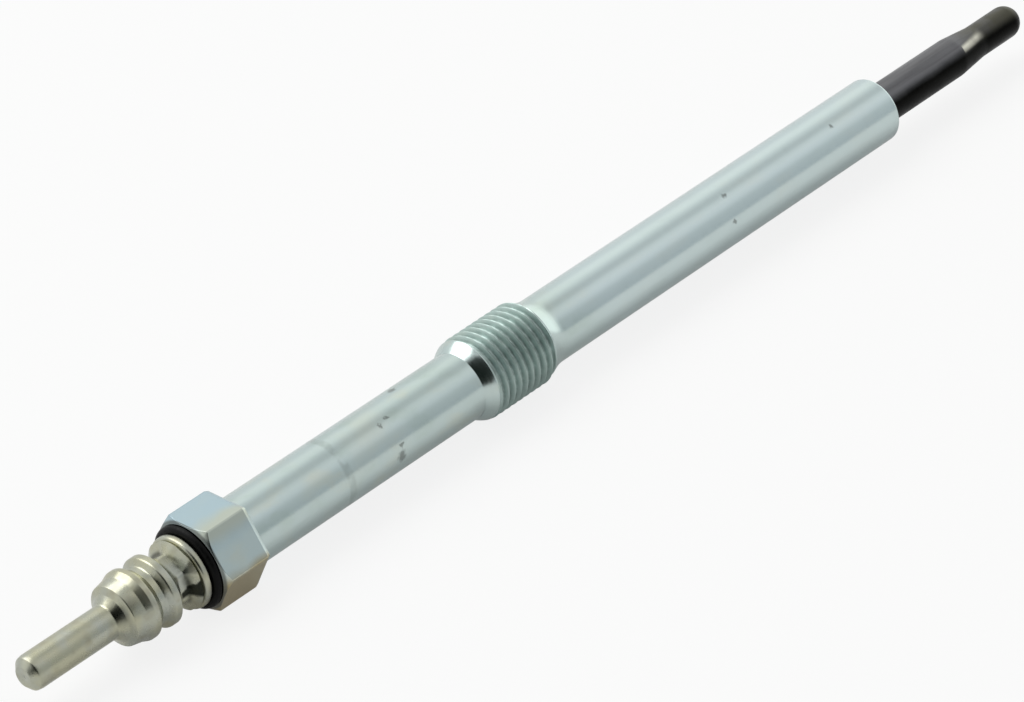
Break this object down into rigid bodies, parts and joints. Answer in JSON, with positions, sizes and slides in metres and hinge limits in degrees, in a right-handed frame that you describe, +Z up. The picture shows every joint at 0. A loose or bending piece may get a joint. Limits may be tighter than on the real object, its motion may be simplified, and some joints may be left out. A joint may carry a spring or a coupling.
{
  "type": "diesel glow plug",
  "caption": "Long metal-sheathed glow plug with a pin terminal, hexagon head, mid-length fine thread and slim tapered heating tip.",
  "frame": {"origin": "on the surface that the plug lies on, below the middle of its length", "axes": "+X along the plug from the terminal pin to the heating tip, +Z up, with one flat of the hexagon and the crests of the thread on the surface"},
  "size_m": [0.1624, 0.0116, 0.01],
  "materials": {
    "terminal_plate": "satin",
    "insulator": "satin",
    "seal_rubber": "matte",
    "body_zinc": "satin",
    "rod_steel": "satin",
    "sheath_alloy": "satin",
    "coil_wire": "satin",
    "powder": "matte"
  },
  "bodies": {
    "root": {"terminal_cap": "terminal_plate", "insulating_washer": "insulator", "body_seal_ring": "seal_rubber", "plug_body": "body_zinc", "centre_rod": "rod_steel", "element_seal": "seal_rubber", "glow_tube": "sheath_alloy", "regulating_coil": "coil_wire", "heating_coil": "coil_wire", "magnesia_filling": "powder"}
  },
  "joints": []
}
